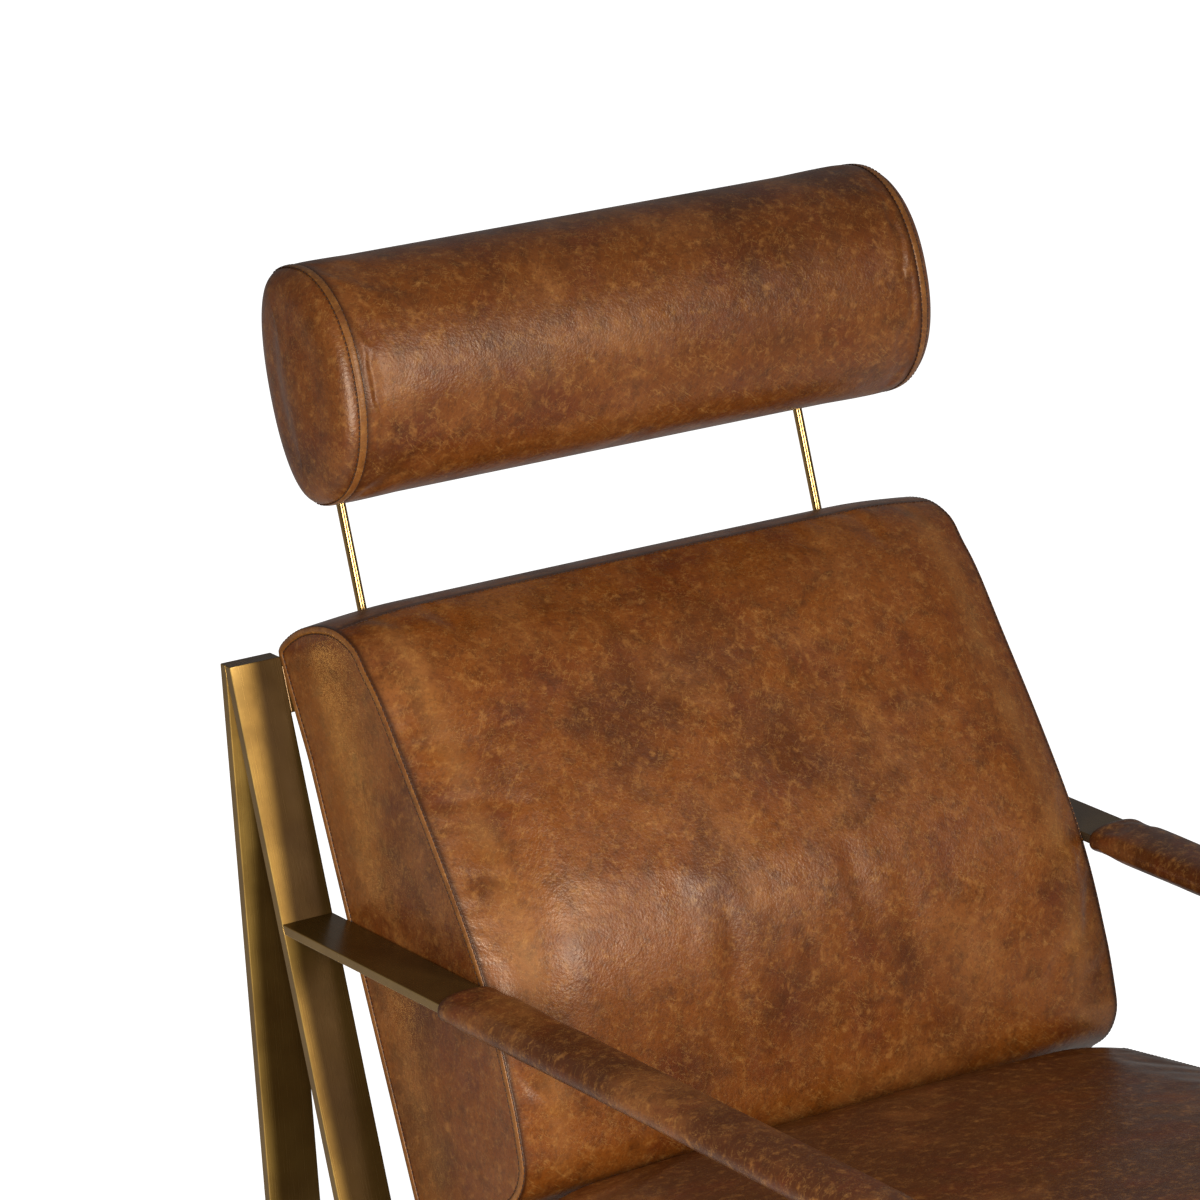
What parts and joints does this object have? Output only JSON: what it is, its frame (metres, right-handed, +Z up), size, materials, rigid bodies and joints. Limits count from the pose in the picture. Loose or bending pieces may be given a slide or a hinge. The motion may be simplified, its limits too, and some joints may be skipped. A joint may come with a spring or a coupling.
{
  "type": "leather armchair",
  "caption": "Leather lounge armchair on a flat-bar brass-finish side frame, with padded arms and a bolster headrest that slides on rods.",
  "frame": {"origin": "middle of the chair's footprint box, on the floor", "axes": "+Z up, -Y to the front, +X to the right seen from the front"},
  "size_m": [0.736, 0.9378, 1.0677],
  "materials": {
    "leather": "waxed pull-up leather, satin",
    "antique_brass": "brushed antique brass plate",
    "polished_brass": "polished brass",
    "plywood": "raw birch plywood",
    "foam": "upholstery foam",
    "nylon": "moulded nylon",
    "steel": "zinc-plated steel"
  },
  "bodies": {
    "chair": {"arm_bar_left": "antique_brass", "arm_bar_right": "antique_brass", "arm_pad_foam_left": "foam", "arm_pad_foam_right": "foam", "arm_pad_leather_left": "leather", "arm_pad_leather_right": "leather", "back_board": "plywood", "back_bolt_left": "steel", "back_bolt_right": "steel", "back_bracket_left": "antique_brass", "back_bracket_right": "antique_brass", "back_cushion_cover": "leather", "back_foam_core": "foam", "back_low_rail": "antique_brass", "back_top_rail": "antique_brass", "back_upright_left": "antique_brass", "back_upright_right": "antique_brass", "deck_bolt_1_left": "steel", "deck_bolt_1_right": "steel", "deck_bolt_2_left": "steel", "deck_bolt_2_right": "steel", "deck_bolt_3_left": "steel", "deck_bolt_3_right": "steel", "front_leg_left": "antique_brass", "front_leg_right": "antique_brass", "glide_front_left": "nylon", "glide_front_right": "nylon", "glide_rear_left": "nylon", "glide_rear_right": "nylon", "rear_leg_left": "antique_brass", "rear_leg_right": "antique_brass", "rod_sleeve_left": "polished_brass", "rod_sleeve_right": "polished_brass", "seat_cross_rail_1": "antique_brass", "seat_cross_rail_2": "antique_brass", "seat_cross_rail_3": "antique_brass", "seat_cushion_cover": "leather", "seat_deck": "plywood", "seat_foam_core": "foam", "seat_side_rail_left": "antique_brass", "seat_side_rail_right": "antique_brass"},
    "headrest": {"headrest_board": "plywood", "headrest_cap_left": "leather", "headrest_cap_right": "leather", "headrest_cover": "leather", "headrest_foam": "foam", "headrest_rod_left": "polished_brass", "headrest_rod_right": "polished_brass", "rod_flange_left": "polished_brass", "rod_flange_right": "polished_brass"}
  },
  "joints": [
    {"name": "headrest_slide", "type": "slide", "parent": "chair", "child": "headrest", "axis": [0, 0.3338, 0.9426], "range_m": [-0.026, 0.04]}
  ]
}
